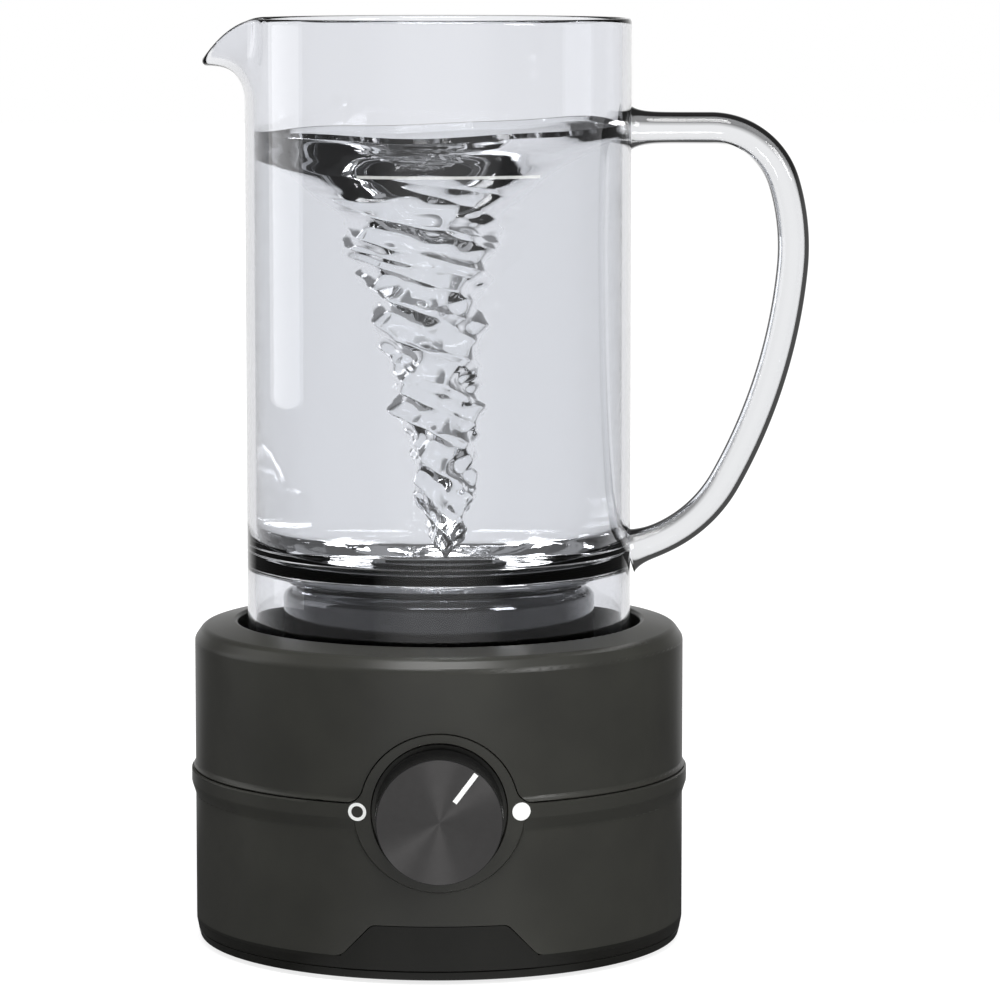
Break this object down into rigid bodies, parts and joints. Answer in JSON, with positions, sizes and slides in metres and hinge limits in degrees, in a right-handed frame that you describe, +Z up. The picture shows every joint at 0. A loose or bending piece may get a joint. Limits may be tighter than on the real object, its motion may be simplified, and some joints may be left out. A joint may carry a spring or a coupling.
{
  "type": "cold brew coffee maker",
  "caption": "Cold brew coffee maker: a clear glass jug with spout and rod handle standing on a round dark base with a stirring drive and a rotary knob.",
  "frame": {"origin": "centre of the foot ring on the table plane, on the axis of the base and the jug", "axes": "+Z up, -Y out of the front where the knob is, +X towards the jug's handle, -X towards its spout"},
  "size_m": [0.1695, 0.1492, 0.2529],
  "materials": {
    "casing_plastic": "satin moulded",
    "tray_plastic": "satin moulded",
    "black_plastic": "gloss moulded",
    "foot_rubber": "matt",
    "plinth_steel": "polished deep-drawn",
    "screw_steel": "zinc plated",
    "bracket_steel": "pressed",
    "carafe_glass": "clear blown",
    "print_white": "printed",
    "knob_aluminium": "spun, dark anodised",
    "magnet_black": "coated",
    "copper_winding": "enamelled wire",
    "bush_bronze": "sintered",
    "board_laminate": "laminate",
    "part_plastic": "moulded",
    "heat_sink_aluminium": "extruded",
    "lead_insulation": "extruded"
  },
  "bodies": {
    "base": {"upper_shell": "casing_plastic", "lower_shell": "casing_plastic", "bottom_tray": "tray_plastic", "foot_ring": "foot_rubber", "shell_screws": "screw_steel", "tray_screws": "screw_steel", "drive_plinth": "plinth_steel", "plinth_pad": "foot_rubber", "plinth_seal": "foot_rubber", "plinth_screws": "screw_steel", "motor_bracket": "bracket_steel", "bracket_isolators": "foot_rubber", "bracket_screws": "screw_steel", "motor_can": "bracket_steel", "motor_end_cap": "black_plastic", "carbon_brushes": "magnet_black", "motor_bushes": "bush_bronze", "motor_screws": "screw_steel", "field_magnets": "magnet_black", "rotary_control": "black_plastic", "control_washer": "screw_steel", "control_nut": "screw_steel", "off_mark": "print_white", "on_mark": "print_white", "circuit_board": "board_laminate", "board_screws": "screw_steel", "mains_transformer": "bracket_steel", "transformer_coil": "copper_winding", "smoothing_capacitor": "part_plastic", "bridge_rectifier": "black_plastic", "heat_sink": "heat_sink_aluminium", "terminal_block": "part_plastic", "motor_leads": "lead_insulation", "switch_leads": "lead_insulation", "cord_grommet": "foot_rubber"},
    "rotor": {"motor_shaft": "screw_steel", "armature_core": "bracket_steel", "armature_windings": "copper_winding", "commutator": "copper_winding", "magnet_carrier": "black_plastic", "drive_magnets": "magnet_black", "keeper_plate": "bracket_steel", "carrier_grub_screw": "screw_steel"},
    "knob": {"control_shaft": "screw_steel", "knob_body": "black_plastic", "knob_cap": "knob_aluminium", "knob_pointer": "print_white"},
    "carafe": {"carafe_glass": "carafe_glass", "carafe_handle": "carafe_glass", "fill_line": "print_white"},
    "spinner": {"spinner_shell": "black_plastic", "spinner_magnet": "magnet_black"}
  },
  "joints": [
    {"name": "carafe_lift", "type": "slide", "parent": "base", "child": "carafe", "axis": [0, 0, 1], "range_m": [0, 0.08]},
    {"name": "drive_spin", "type": "hinge", "parent": "base", "child": "rotor", "pos_m": [0, 0, 0.06], "axis": [0, 0, 1], "continuous": true},
    {"name": "spinner_spin", "type": "hinge", "parent": "carafe", "child": "spinner", "pos_m": [0, 0, 0.103], "axis": [0, 0, 1], "continuous": true},
    {"name": "knob_turn", "type": "hinge", "parent": "base", "child": "knob", "pos_m": [0, -0.07, 0.0462], "axis": [0, 1, 0], "range_deg": [-127, 53]}
  ],
  "couplings": [
    {"joint": "spinner_spin", "follows": "drive_spin", "ratio": 1}
  ]
}
